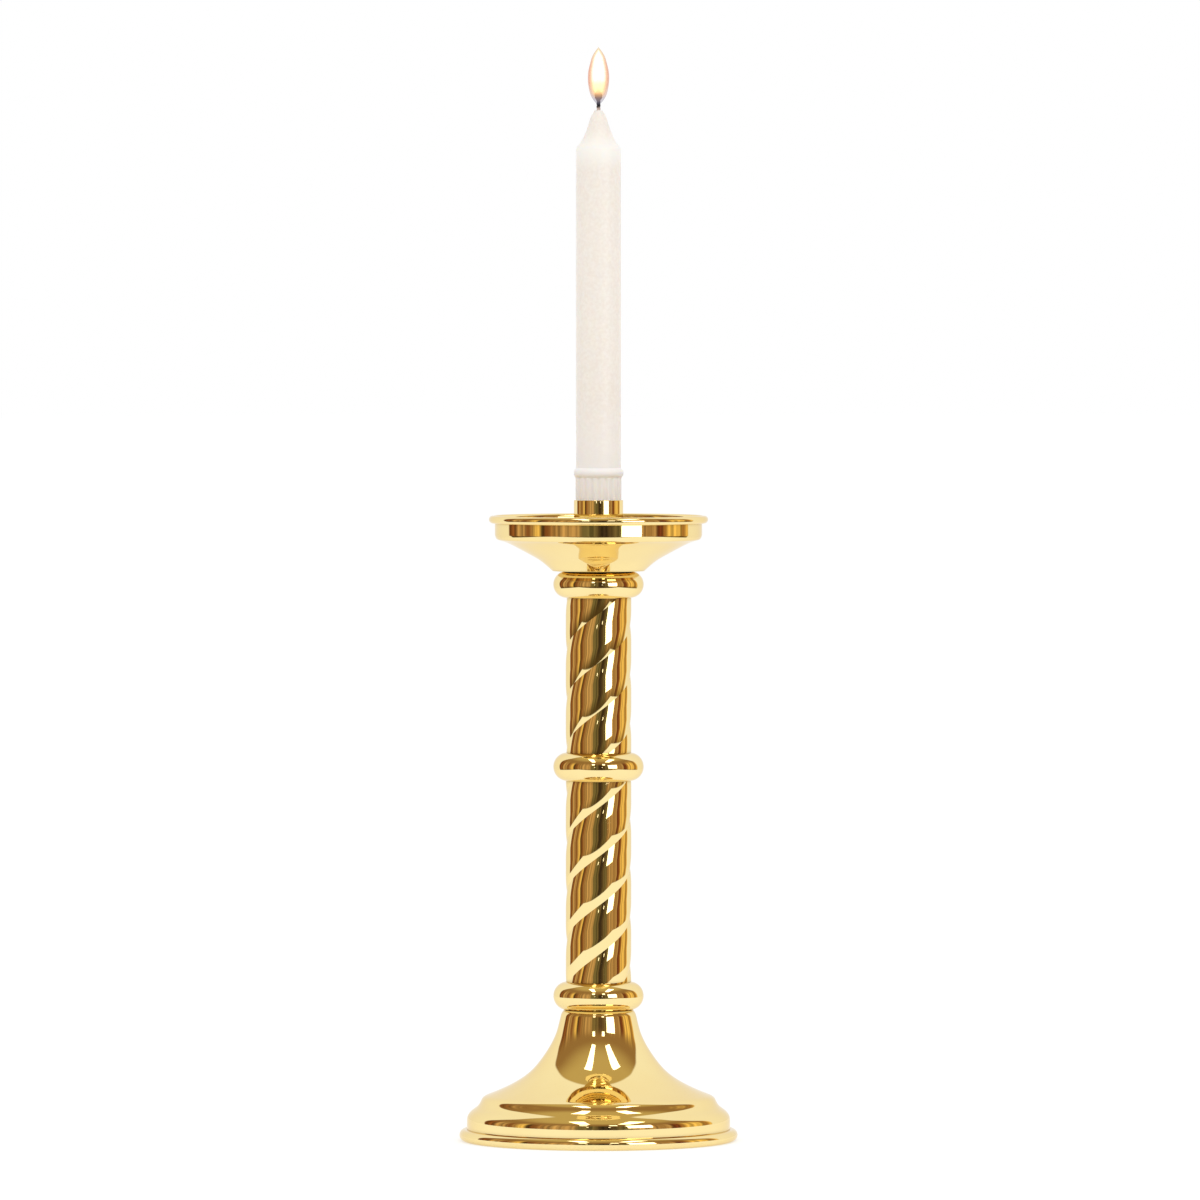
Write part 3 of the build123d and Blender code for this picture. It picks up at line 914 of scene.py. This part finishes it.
class CANDLESTICK_OT_base(PieceOperator, bpy.types.Operator):
    """Spin the bell base with its stepped foot and rolled rim"""

    bl_idname = "candlestick.base"
    bl_label = "Bell base"

    def execute(self, context):
        settings = context.scene.candlestick
        sizes = settings.brass
        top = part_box("base_shell")[1]
        wall = top.x - sizes.base_rim_stand_out
        step = wall - sizes.base_step_width
        corner = (step, sizes.base_step_height)
        neck = (sizes.base_neck, top.z - sizes.base_neck_drop)
        foot = between((wall, sizes.base_wall_top), corner, FOOT_SHARES)
        flare = between(corner, neck, BELL_SHARES)
        lean = (-math.sin(sizes.base_neck_lean), math.cos(sizes.base_neck_lean))
        side = flowing(foot + flare, (0, 1), lean, BASE_STEPS)
        inner = sheet_inside(side, sizes.base_sheet)
        bead = (top.x - sizes.base_bead, sizes.base_bead - sizes.base_ground)
        outer_meet = math.degrees(math.acos((wall - bead[0]) / sizes.base_bead))
        inner_meet = math.degrees(math.acos((wall - sizes.base_sheet - bead[0]) / sizes.base_bead))
        rim = arc(bead, sizes.base_bead, inner_meet, 360 + outer_meet, RIM_STEPS)
        rim[:, 1] = np.maximum(rim[:, 1], 0)
        band = even([rim[-1], side[0][0]], BAND_SPACING)
        shoulder = arc_from(neck, lean, (sizes.base_neck - sizes.base_shoulder, top.z))
        sheet_z = top.z - sizes.base_sheet
        outline = [
            *rim,
            *band[1:-1],
            *side[0],
            *shoulder[1:],
            (sizes.rod_hole, top.z),
            (sizes.rod_hole, sheet_z),
            (shoulder[-1][0], sheet_z),
            # A quarter of the points will do inside
            *inner[::-4],
        ]
        creases = (rim[-1], shoulder[-1])
        turned_brass(settings, "spun_base", outline, SPUN_FACETS, creases, "base_shell")
        return {"FINISHED"}


class CANDLESTICK_OT_knops(PieceOperator, bpy.types.Operator):
    """Turn the three half-round knops with their spigots"""

    bl_idname = "candlestick.knops"
    bl_label = "Knops"

    def execute(self, context):
        settings = context.scene.candlestick
        sizes = settings.brass
        spigots = {"lower_knop": (False, True), "middle_knop": (True, True), "upper_knop": (True, False)}
        for node, (below, above) in spigots.items():
            low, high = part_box(node)
            foot = low.z + below * sizes.spigot_length
            head = high.z - above * sizes.spigot_length
            half = (head - foot) / 2
            seat = high.x - half
            bead = arc((seat, foot + half), half, -90, 90, KNOP_STEPS)
            outline = [(sizes.rod_hole, low.z)]
            if below:
                outline += [(sizes.spigot, low.z), (sizes.spigot, foot)]
            outline += list(bead)
            if above:
                outline += [(sizes.spigot, head), (sizes.spigot, high.z)]
            outline.append((sizes.rod_hole, high.z))
            creases = (bead[0], bead[-1])
            turned_brass(settings, f"turned_{node}", outline, KNOP_FACETS, creases, node)
        return {"FINISHED"}


class CANDLESTICK_OT_columns(PieceOperator, bpy.types.Operator):
    """Twist the two columns, whose grooves follow one right-hand screw rule"""

    bl_idname = "candlestick.columns"
    bl_label = "Spiral columns"

    def execute(self, context):
        settings = context.scene.candlestick
        sizes = settings.brass
        tree = helical_groove_tree()
        starts = {"lower_column": sizes.lower_angle, "upper_column": sizes.upper_angle}
        for node, first_angle in starts.items():
            low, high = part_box(node)
            values = {
                "Length": high.z - low.z,
                "Height": low.z,
                "Radius": high.x,
                "Bore": sizes.column_bore,
                "Depth": sizes.groove_depth,
                "Lead": sizes.twist_lead,
                "Above": sizes.groove_above,
                "Below": sizes.groove_below,
                "First Angle": first_angle,
                "Grooves": sizes.groove_count,
                "Columns": FACETS_PER_GROOVE * sizes.groove_count,
                "Rows": round((high.z - low.z) / ROW_HEIGHT),
                "Material": polished_brass(settings),
            }
            name = f"twisted_{node}"
            mesh = run_tree(name, tree, values)
            piece = finished(
                name, mesh, polished_brass(settings), HOLDER, [node], sharp=GROOVE_SHARP
            )
            ends = np.array([vertex.co.z for vertex in piece.data.vertices])
            gaps = np.minimum(ends - low.z, high.z - ends)
            mark_creases(piece.data, gaps, sizes.crease_reach)
        return {"FINISHED"}


class CANDLESTICK_OT_drip_pan(PieceOperator, bpy.types.Operator):
    """Spin the drip pan with its rolled lip"""

    bl_idname = "candlestick.drip_pan"
    bl_label = "Drip pan"

    def execute(self, context):
        settings = context.scene.candlestick
        sizes = settings.brass
        low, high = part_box("drip_pan")
        wall = high.x - sizes.pan_lip_stand_out
        start = (sizes.pan_floor, low.z)
        band_foot = (wall, low.z + sizes.pan_wall_foot)
        under = flowing(between(start, band_foot, PAN_SHARES), PAN_START_SHARES, (0, 1))
        inner = sheet_inside(under, sizes.pan_sheet)
        bead = (high.x - sizes.pan_lip_bead, high.z - sizes.pan_lip_bead)
        meet = 360 - math.degrees(math.acos((wall - bead[0]) / sizes.pan_lip_bead))
        lip = arc(bead, sizes.pan_lip_bead, meet, 540, LIP_STEPS)
        floor_z = low.z + sizes.pan_sheet
        above_floor = inner[:, 1] > floor_z
        outline = [
            (sizes.rod_hole, low.z),
            *under[0],
            *even([under[0][-1], lip[0]], BAND_SPACING)[1:-1],
            *lip,
            (wall - sizes.pan_sheet, bead[1]),
            *inner[above_floor][::-1],
            (inner[above_floor][0][0], floor_z),
            (sizes.rod_hole, floor_z),
        ]
        creases = (lip[0], start)
        turned_brass(settings, "spun_drip_pan", outline, SPUN_FACETS, creases, "drip_pan")
        return {"FINISHED"}


class CANDLESTICK_OT_socket(PieceOperator, bpy.types.Operator):
    """Turn the plain cup that holds the candle"""

    bl_idname = "candlestick.socket"
    bl_label = "Candle socket"

    def execute(self, context):
        settings = context.scene.candlestick
        sizes = settings.brass
        low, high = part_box("socket")
        edge_z = high.z - sizes.socket_edge
        outer_edge = arc((high.x - sizes.socket_edge, edge_z), sizes.socket_edge, 0, 90, EDGE_STEPS)
        inner_middle = (sizes.socket_bore + sizes.socket_edge, edge_z)
        inner_edge = arc(inner_middle, sizes.socket_edge, 90, 180, EDGE_STEPS)
        floor_z = low.z + sizes.socket_floor
        outline = [
            (sizes.rod_hole, low.z),
            *even([(high.x, low.z), outer_edge[0]], SOCKET_SPACING),
            *outer_edge[1:],
            *inner_edge,
            (sizes.socket_bore, floor_z),
            (sizes.rod_hole, floor_z),
        ]
        creases = ((high.x, low.z),)
        turned_brass(settings, "candle_socket", outline, SOCKET_FACETS, creases, "socket")
        return {"FINISHED"}


class CANDLESTICK_OT_fasteners(PieceOperator, bpy.types.Operator):
    """Thread the tie rod, and plate it with its nuts and washers"""

    bl_idname = "candlestick.fasteners"
    bl_label = "Rod and nuts"

    def execute(self, context):
        settings = context.scene.candlestick
        sizes = settings.fasteners
        low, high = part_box("tie_rod")
        half_pitch = sizes.thread_pitch / 2
        values = {
            "Length": high.z - low.z,
            "Height": low.z,
            "Radius": high.x,
            "Bore": 0.0,
            "Depth": sizes.thread_depth,
            "Lead": sizes.thread_pitch,
            "Above": half_pitch,
            "Below": half_pitch,
            "First Angle": 0.0,
            "Grooves": 1,
            "Columns": THREAD_FACETS,
            "Rows": round((high.z - low.z) / sizes.thread_pitch * ROWS_PER_THREAD),
            "Material": zinc_plated_steel(settings),
        }
        mesh = run_tree("threaded_rod", bpy.data.node_groups["helical_grooves"], values)
        finished("threaded_rod", mesh, zinc_plated_steel(settings), HOLDER, ["tie_rod"])
        for node in ("base_washer", "lock_washer", "base_nut", "socket_washer", "socket_nut"):
            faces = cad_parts[node].data
            faces.materials.clear()
            faces.materials.append(zinc_plated_steel(settings))
        return {"FINISHED"}


class CANDLESTICK_OT_candle(PieceOperator, bpy.types.Operator):
    """Mould the candle with its fluted end, bead ring and burnt-down tip"""

    bl_idname = "candlestick.candle"
    bl_label = "Candle"

    def execute(self, context):
        settings = context.scene.candlestick
        sizes = settings.candle
        low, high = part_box("candle")
        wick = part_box("wick")[1].x
        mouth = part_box("socket")[1].z
        ring_z = mouth + sizes.ring_lift
        body_z = ring_z + sizes.ring_height
        shoulder = (sizes.radius, high.z - sizes.tip_length)
        middle = (sizes.radius + sizes.ring_stand_out, ring_z + sizes.ring_height / 2)
        bead = arc_through((sizes.collar, ring_z), middle, (sizes.radius, body_z), RING_STEPS)
        tip = flowing(between((sizes.tip, shoulder[1]), (sizes.radius, high.z), TIP_SHARES), (0, 1), (-1, 0))
        taper = even([(sizes.foot, low.z), (sizes.end, mouth), (sizes.collar, ring_z)], TAPER_SPACING)
        outline = [
            (wick, low.z),
            *taper,
            *bead[1:],
            *even([bead[-1], shoulder], SIDE_SPACING)[1:],
            *tip[0][1:],
            (wick, high.z),
        ]

        def fluted(rings, turns):
            """Radii of the rings, with the flutes cut out of the tapered end."""
            radii = np.repeat(rings[:, :1], len(turns), axis=1)
            share = (rings[:, 1:] - low.z) / (ring_z - low.z)
            axis = sizes.foot + (sizes.collar - sizes.foot) * share + sizes.flute - sizes.flute_depth
            pitch = FULL_TURN / sizes.flute_count
            off = (turns + pitch / 2) % pitch - pitch / 2
            reach = sizes.flute**2 - (axis * np.sin(off)) ** 2
            cut = axis * np.cos(off) - np.sqrt(np.maximum(reach, 0))
            inside = (reach > 0) & (rings[:, 1:] < ring_z) & (rings[:, :1] > sizes.foot / 2)
            return np.where(inside, np.minimum(radii, cut), radii)

        mesh = turned("ivory_candle", outline, FACETS_PER_FLUTE * sizes.flute_count, radius_rule=fluted)
        finished("ivory_candle", mesh, candle_wax(settings), CANDLE, ["candle"])
        return {"FINISHED"}


class CANDLESTICK_OT_wick(PieceOperator, bpy.types.Operator):
    """Plait the wick from three strands"""

    bl_idname = "candlestick.wick"
    bl_label = "Wick"

    def execute(self, context):
        settings = context.scene.candlestick
        sizes = settings.candle
        low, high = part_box("wick")
        material = wick_cotton(settings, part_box("candle")[1].z, high.z)
        values = {
            "Foot": low.z,
            "Top": high.z,
            "Strand": sizes.strand,
            "Plait": sizes.plait,
            "Width": sizes.wick_width,
            "Depth": sizes.wick_depth,
            "Spacing": WICK_SPACING,
            "Strands": STRANDS,
            "Material": material,
        }
        mesh = run_tree("plaited_wick", plait_tree(), values)
        finished("plaited_wick", mesh, material, CANDLE, ["wick"])
        return {"FINISHED"}


class CANDLESTICK_OT_flame(PieceOperator, bpy.types.Operator):
    """Light the flame, as thin shells of glowing gas one inside the other"""

    bl_idname = "candlestick.flame"
    bl_label = "Flame"

    def execute(self, context):
        sizes = context.scene.candlestick.candle
        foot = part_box("candle")[1].z + sizes.flame_foot
        # Each shell has its width and the foot and top of its height as shares of the whole flame's, its
        # brightness, how much it hides, and the share of its height over which it comes up from its foot
        shells = {
            "flame_mantle": (1.0, 0.0, 1.0, 1.0, 0.4, 0.1, FLAME_MANTLE),
            "flame_veil": (0.9, 0.05, 0.985, 1.2, 0.25, 0.3, FLAME_VEIL),
            "flame_body": (0.81, 0.07, 0.97, 1.6, 0.3, 0.3, FLAME_BODY),
            "flame_heart": (0.72, 0.09, 0.955, 2.2, 0.35, 0.32, FLAME_HEART),
            "flame_core": (0.62, 0.11, 0.94, 3.0, 0.5, 0.34, FLAME_CORE),
            "flame_kernel": (0.5, 0.13, 0.92, 4.0, 0.9, 0.36, FLAME_CORE),
            "flame_ember": (0.36, 0.08, 0.29, 1.0, 0.92, 0.2, FLAME_EMBER),
        }
        for name, (width, start, end, strength, alpha, rise, stops) in shells.items():
            shell_foot = foot + start * sizes.flame_height
            shell_height = (end - start) * sizes.flame_height
            point = (width * sizes.flame_radius, shell_foot + shell_height)
            knots = between((0, shell_foot), point, FLAME_SHARES)
            outline = flowing(knots, FLAME_START, FLAME_END, FLAME_STEPS)[0]
            gas = flame_gas(name, stops, shell_foot, shell_height, strength, alpha, rise)
            shell = turned(name, outline, FLAME_FACETS, closed=False)
            finished(name, shell, gas, CANDLE, sharp=FLAME_SHARP)
        return {"FINISHED"}


class CANDLESTICK_OT_stage(PieceOperator, bpy.types.Operator):
    """Set the white table, the studio round it, the softboxes and the camera"""

    bl_idname = "candlestick.stage"
    bl_label = "Studio"

    def execute(self, context):
        studio = context.scene.candlestick.studio
        context.scene.view_settings.view_transform = "Standard"
        self.floor(context, studio)
        self.world(context, studio, context.scene.candlestick.room)
        # Name, bearing and height in degrees, distance, width and height in metres, brightness
        boxes = (
            ("softbox_right", 36.5, 14.0, 1.2, 0.48, 0.54, 1.0),
            ("lamp_left", -14.0, 30.5, 1.6, 0.18, 0.26, 0.8),
            ("lamp_right", 14.0, 30.5, 1.6, 0.18, 0.26, 0.8),
            ("spot_left", -9.5, 10.0, 1.6, 0.05, 0.08, 0.8),
            ("spot_right", 9.5, 10.0, 1.6, 0.05, 0.08, 0.8),
        )
        for box in boxes:
            self.softbox(context, studio, *box)
        # Name, place to the right and to the front, width and length in metres
        strips = (
            ("strip_left", -0.44, 1.02, 0.32, 1.24),
            ("strip_right", 0.8, 0.92, 0.4, 1.2),
        )
        for name, right, front, width, tall in strips:
            strip = self.lamp(context, name, width, tall, studio.softbox)
            strip.location = (right, -front, studio.ceiling_height)
        self.camera(context, studio)
        return {"FINISHED"}

    def floor(self, context, studio):
        """White paper that gives way to the room in the metal's mirror, past the table's edge."""
        mesh = bpy.data.meshes.new("white_floor")
        ways = ((-1, -1), (1, -1), (1, 1), (-1, 1))
        corners = [(x * FLOOR_HALF, y * FLOOR_HALF, 0) for x, y in ways]
        mesh.from_pydata(corners, [], [(0, 1, 2, 3)])
        floor = bpy.data.objects.new("white_floor", mesh)
        context.scene.collection.objects.link(floor)
        material, tree, shader = new_material("white_paper_floor")
        wire(
            tree,
            shader,
            {
                "Base Color": studio.floor,
                "Roughness": 1.0,
                "Specular IOR Level": 0.0,
                "Emission Color": WHITE,
                "Emission Strength": studio.floor_glow,
            },
        )
        # Past the table's edge the metal mirrors the room
        rays = add(tree, "ShaderNodeLightPath")
        spot = add(tree, "ShaderNodeTexCoord").outputs["Object"]
        place = add(tree, SEPARATE, [spot]).outputs
        aside = add(tree, MATH, [place["X"]], operation="ABSOLUTE")
        sideways = add(tree, MATH, [aside, studio.table_side], operation="DIVIDE")
        forwards = add(tree, MATH, [place["Y"], -studio.table_front], operation="DIVIDE")
        reach = add(tree, MATH, [sideways, forwards], operation="MAXIMUM")
        past = add(tree, MAP_RANGE, [reach, 1.0, 1.05])
        mirrored = add(tree, MATH, [past, rays.outputs["Is Glossy Ray"]], operation="MULTIPLY")
        room = add(tree, "ShaderNodeBsdfTransparent")
        both = add(tree, "ShaderNodeMixShader", [mirrored, shader, room])
        output = next(n for n in tree.nodes if n.type == "OUTPUT_MATERIAL")
        wire(tree, output, {"Surface": both})
        mesh.materials.append(material)

    def world(self, context, studio, colours):
        """White for the camera, even light for the wax, and for the metal a room with a white backdrop."""
        world = bpy.data.worlds.new("white_studio")
        context.scene.world = world
        world.use_nodes = True
        tree = world.node_tree
        tree.nodes.clear()
        way = add(tree, "ShaderNodeTexCoord").outputs["Generated"]
        axis = add(tree, SEPARATE, [way]).outputs
        front = add(tree, MATH, [axis["Y"], -1.0], operation="MULTIPLY")
        bearing = add(tree, MATH, [axis["X"], front], operation="ARCTAN2")
        turn = add(tree, MAP_RANGE, [bearing, -math.pi, math.pi])
        room = add(tree, RAMP, {"Fac": turn})
        elements = room.color_ramp.elements
        while len(elements) < len(ROOM_WALLS):
            elements.new(1.0)
        for element, (degrees, name) in zip(elements, ROOM_WALLS):
            element.position, element.color = degrees / 360 + 0.5, getattr(colours, name)
        # Folds of the curtains, about 5 degrees wide
        folds = add(tree, NOISE, {"W": turn, "Scale": 70.0, "Detail": 2.0}, noise_dimensions="1D")
        shade = add(tree, MAP_RANGE, [folds, 0.3, 0.7, 0.55, 1.35])
        walls = add(
            tree, MIX, {"Factor": 1.0, MIX_A: room, MIX_B: shade}, data_type="RGBA", blend_type="MULTIPLY"
        )
        high = add(tree, MAP_RANGE, [axis["Z"], 0.3, 0.65], interpolation_type="SMOOTHSTEP")
        higher = add(tree, MAP_RANGE, [axis["Z"], 0.68, 0.93], interpolation_type="SMOOTHSTEP")
        ceiling = add(
            tree,
            MIX,
            {"Factor": higher, MIX_A: colours.ceiling, MIX_B: colours.overhead},
            data_type="RGBA",
        )
        ceiled = add(tree, MIX, {"Factor": high, MIX_A: walls, MIX_B: ceiling}, data_type="RGBA")
        low = add(tree, MAP_RANGE, [axis["Z"], -0.36, -0.06], interpolation_type="SMOOTHSTEP")
        floored = add(tree, MIX, {"Factor": low, MIX_A: colours.ground, MIX_B: ceiled}, data_type="RGBA")
        # The white backdrop stands behind: how far back a ray has to point to meet it goes by how far it
        # points aside, and the backdrop is a little askew the higher it is
        aside = add(tree, MATH, [axis["X"]], operation="ABSOLUTE")
        top = add(tree, MATH, [aside, -0.35, 0.41], operation="MULTIPLY_ADD")
        narrowing = add(tree, MAP_RANGE, [axis["Z"], 0.45, 0.85, 0.55, 0.32])
        sides = add(tree, MATH, [aside, narrowing], operation="MULTIPLY")
        edge = add(tree, MATH, [top, sides, 0.12], operation="SMOOTH_MAX")
        askew = add(tree, MATH, [axis["X"], axis["Z"]], operation="MULTIPLY")
        back = add(tree, MATH, [askew, 0.15, axis["Y"]], operation="MULTIPLY_ADD")
        past = add(tree, MATH, [back, edge], operation="SUBTRACT")
        behind = add(tree, MAP_RANGE, [past, -0.025, 0.025], interpolation_type="SMOOTHSTEP")
        mirrored = add(tree, MIX, {"Factor": behind, MIX_A: floored, MIX_B: WHITE}, data_type="RGBA")
        rays = add(tree, "ShaderNodeLightPath").outputs
        even_light = (studio.ambient, studio.ambient, studio.ambient, 1.0)
        lit = add(
            tree,
            MIX,
            {"Factor": rays["Is Glossy Ray"], MIX_A: even_light, MIX_B: mirrored},
            data_type="RGBA",
        )
        plain = add(tree, MATH, [rays["Is Camera Ray"], rays["Is Transmission Ray"]], operation="MAXIMUM")
        seen = add(tree, MIX, {"Factor": plain, MIX_A: lit, MIX_B: WHITE}, data_type="RGBA")
        sky = add(tree, "ShaderNodeBackground", {"Color": seen, "Strength": 1.0})
        add(tree, "ShaderNodeOutputWorld", {"Surface": sky})

    def lamp(self, context, name, width, tall, brightness):
        """A rectangular lamp with a face of the given brightness, which the camera doesn't see."""
        light = bpy.data.lights.new(name, "AREA")
        light.shape = "RECTANGLE"
        light.size, light.size_y = width, tall
        light.energy = brightness * math.pi * width * tall
        lamp = bpy.data.objects.new(name, light)
        lamp.visible_camera = False
        context.scene.collection.objects.link(lamp)
        return lamp

    def softbox(self, context, studio, name, bearing, height, distance, width, tall, share):
        """A lamp that only shows in the metal, because the even light does the rest."""
        side, rise = math.radians(bearing), math.radians(height)
        way = Vector((math.sin(side) * math.cos(rise), -math.cos(side) * math.cos(rise), math.sin(rise)))
        box = self.lamp(context, name, width, tall, studio.softbox * share)
        box.location = Vector((0, 0, SOFTBOX_AIM)) + way * distance
        box.rotation_euler = (-way).to_track_quat("-Z", "Y").to_euler()
        box.visible_diffuse = False

    def camera(self, context, studio):
        """A long lens at the height of the candle's middle."""
        lens = bpy.data.cameras.new("camera")
        eye = Vector((studio.aim_side, -studio.camera_distance, studio.camera_height))
        aim = Vector((studio.aim_side, 0, studio.aim_height))
        lens.lens = lens.sensor_width * (aim - eye).length / studio.frame_width
        lens.clip_end = VIEW_DEPTH
        camera = bpy.data.objects.new("camera", lens)
        camera.location = eye
        camera.rotation_euler = (aim - eye).to_track_quat("-Z", "Y").to_euler()
        context.scene.collection.objects.link(camera)
        context.scene.camera = camera


PIECES = (
    CANDLESTICK_OT_base,
    CANDLESTICK_OT_knops,
    CANDLESTICK_OT_columns,
    CANDLESTICK_OT_drip_pan,
    CANDLESTICK_OT_socket,
    CANDLESTICK_OT_fasteners,
    CANDLESTICK_OT_candle,
    CANDLESTICK_OT_wick,
    CANDLESTICK_OT_flame,
    CANDLESTICK_OT_stage,
)


class CANDLESTICK_PT_panel(bpy.types.Panel):
    """Lists the steps that dress the candlestick"""

    bl_idname = "CANDLESTICK_PT_panel"
    bl_label = "Candlestick"
    bl_space_type = "VIEW_3D"
    bl_region_type = "UI"
    bl_category = "Candlestick"

    def draw(self, context):
        for piece in PIECES:
            self.layout.operator(piece.bl_idname)
        settings = context.scene.candlestick
        for key in settings.__annotations__:
            group = getattr(settings, key)
            box = self.layout.box()
            for name in group.__annotations__:
                box.prop(group, name)


CLASSES = (
    BrassSizes,
    FastenerSizes,
    CandleSizes,
    FinishColours,
    StudioSettings,
    RoomColours,
    CandlestickSettings,
    *PIECES,
    CANDLESTICK_PT_panel,
)


def register():
    for cls in CLASSES:
        bpy.utils.register_class(cls)
    bpy.types.Scene.candlestick = PointerProperty(type=CandlestickSettings)


def unregister():
    del bpy.types.Scene.candlestick
    for cls in reversed(CLASSES):
        bpy.utils.unregister_class(cls)


def main():
    register()
    bpy.ops.candlestick.base()
    bpy.ops.candlestick.knops()
    bpy.ops.candlestick.columns()
    bpy.ops.candlestick.drip_pan()
    bpy.ops.candlestick.socket()
    bpy.ops.candlestick.fasteners()
    bpy.ops.candlestick.candle()
    bpy.ops.candlestick.wick()
    bpy.ops.candlestick.flame()
    bpy.ops.candlestick.stage()


if __name__ == "__main__":
    main()
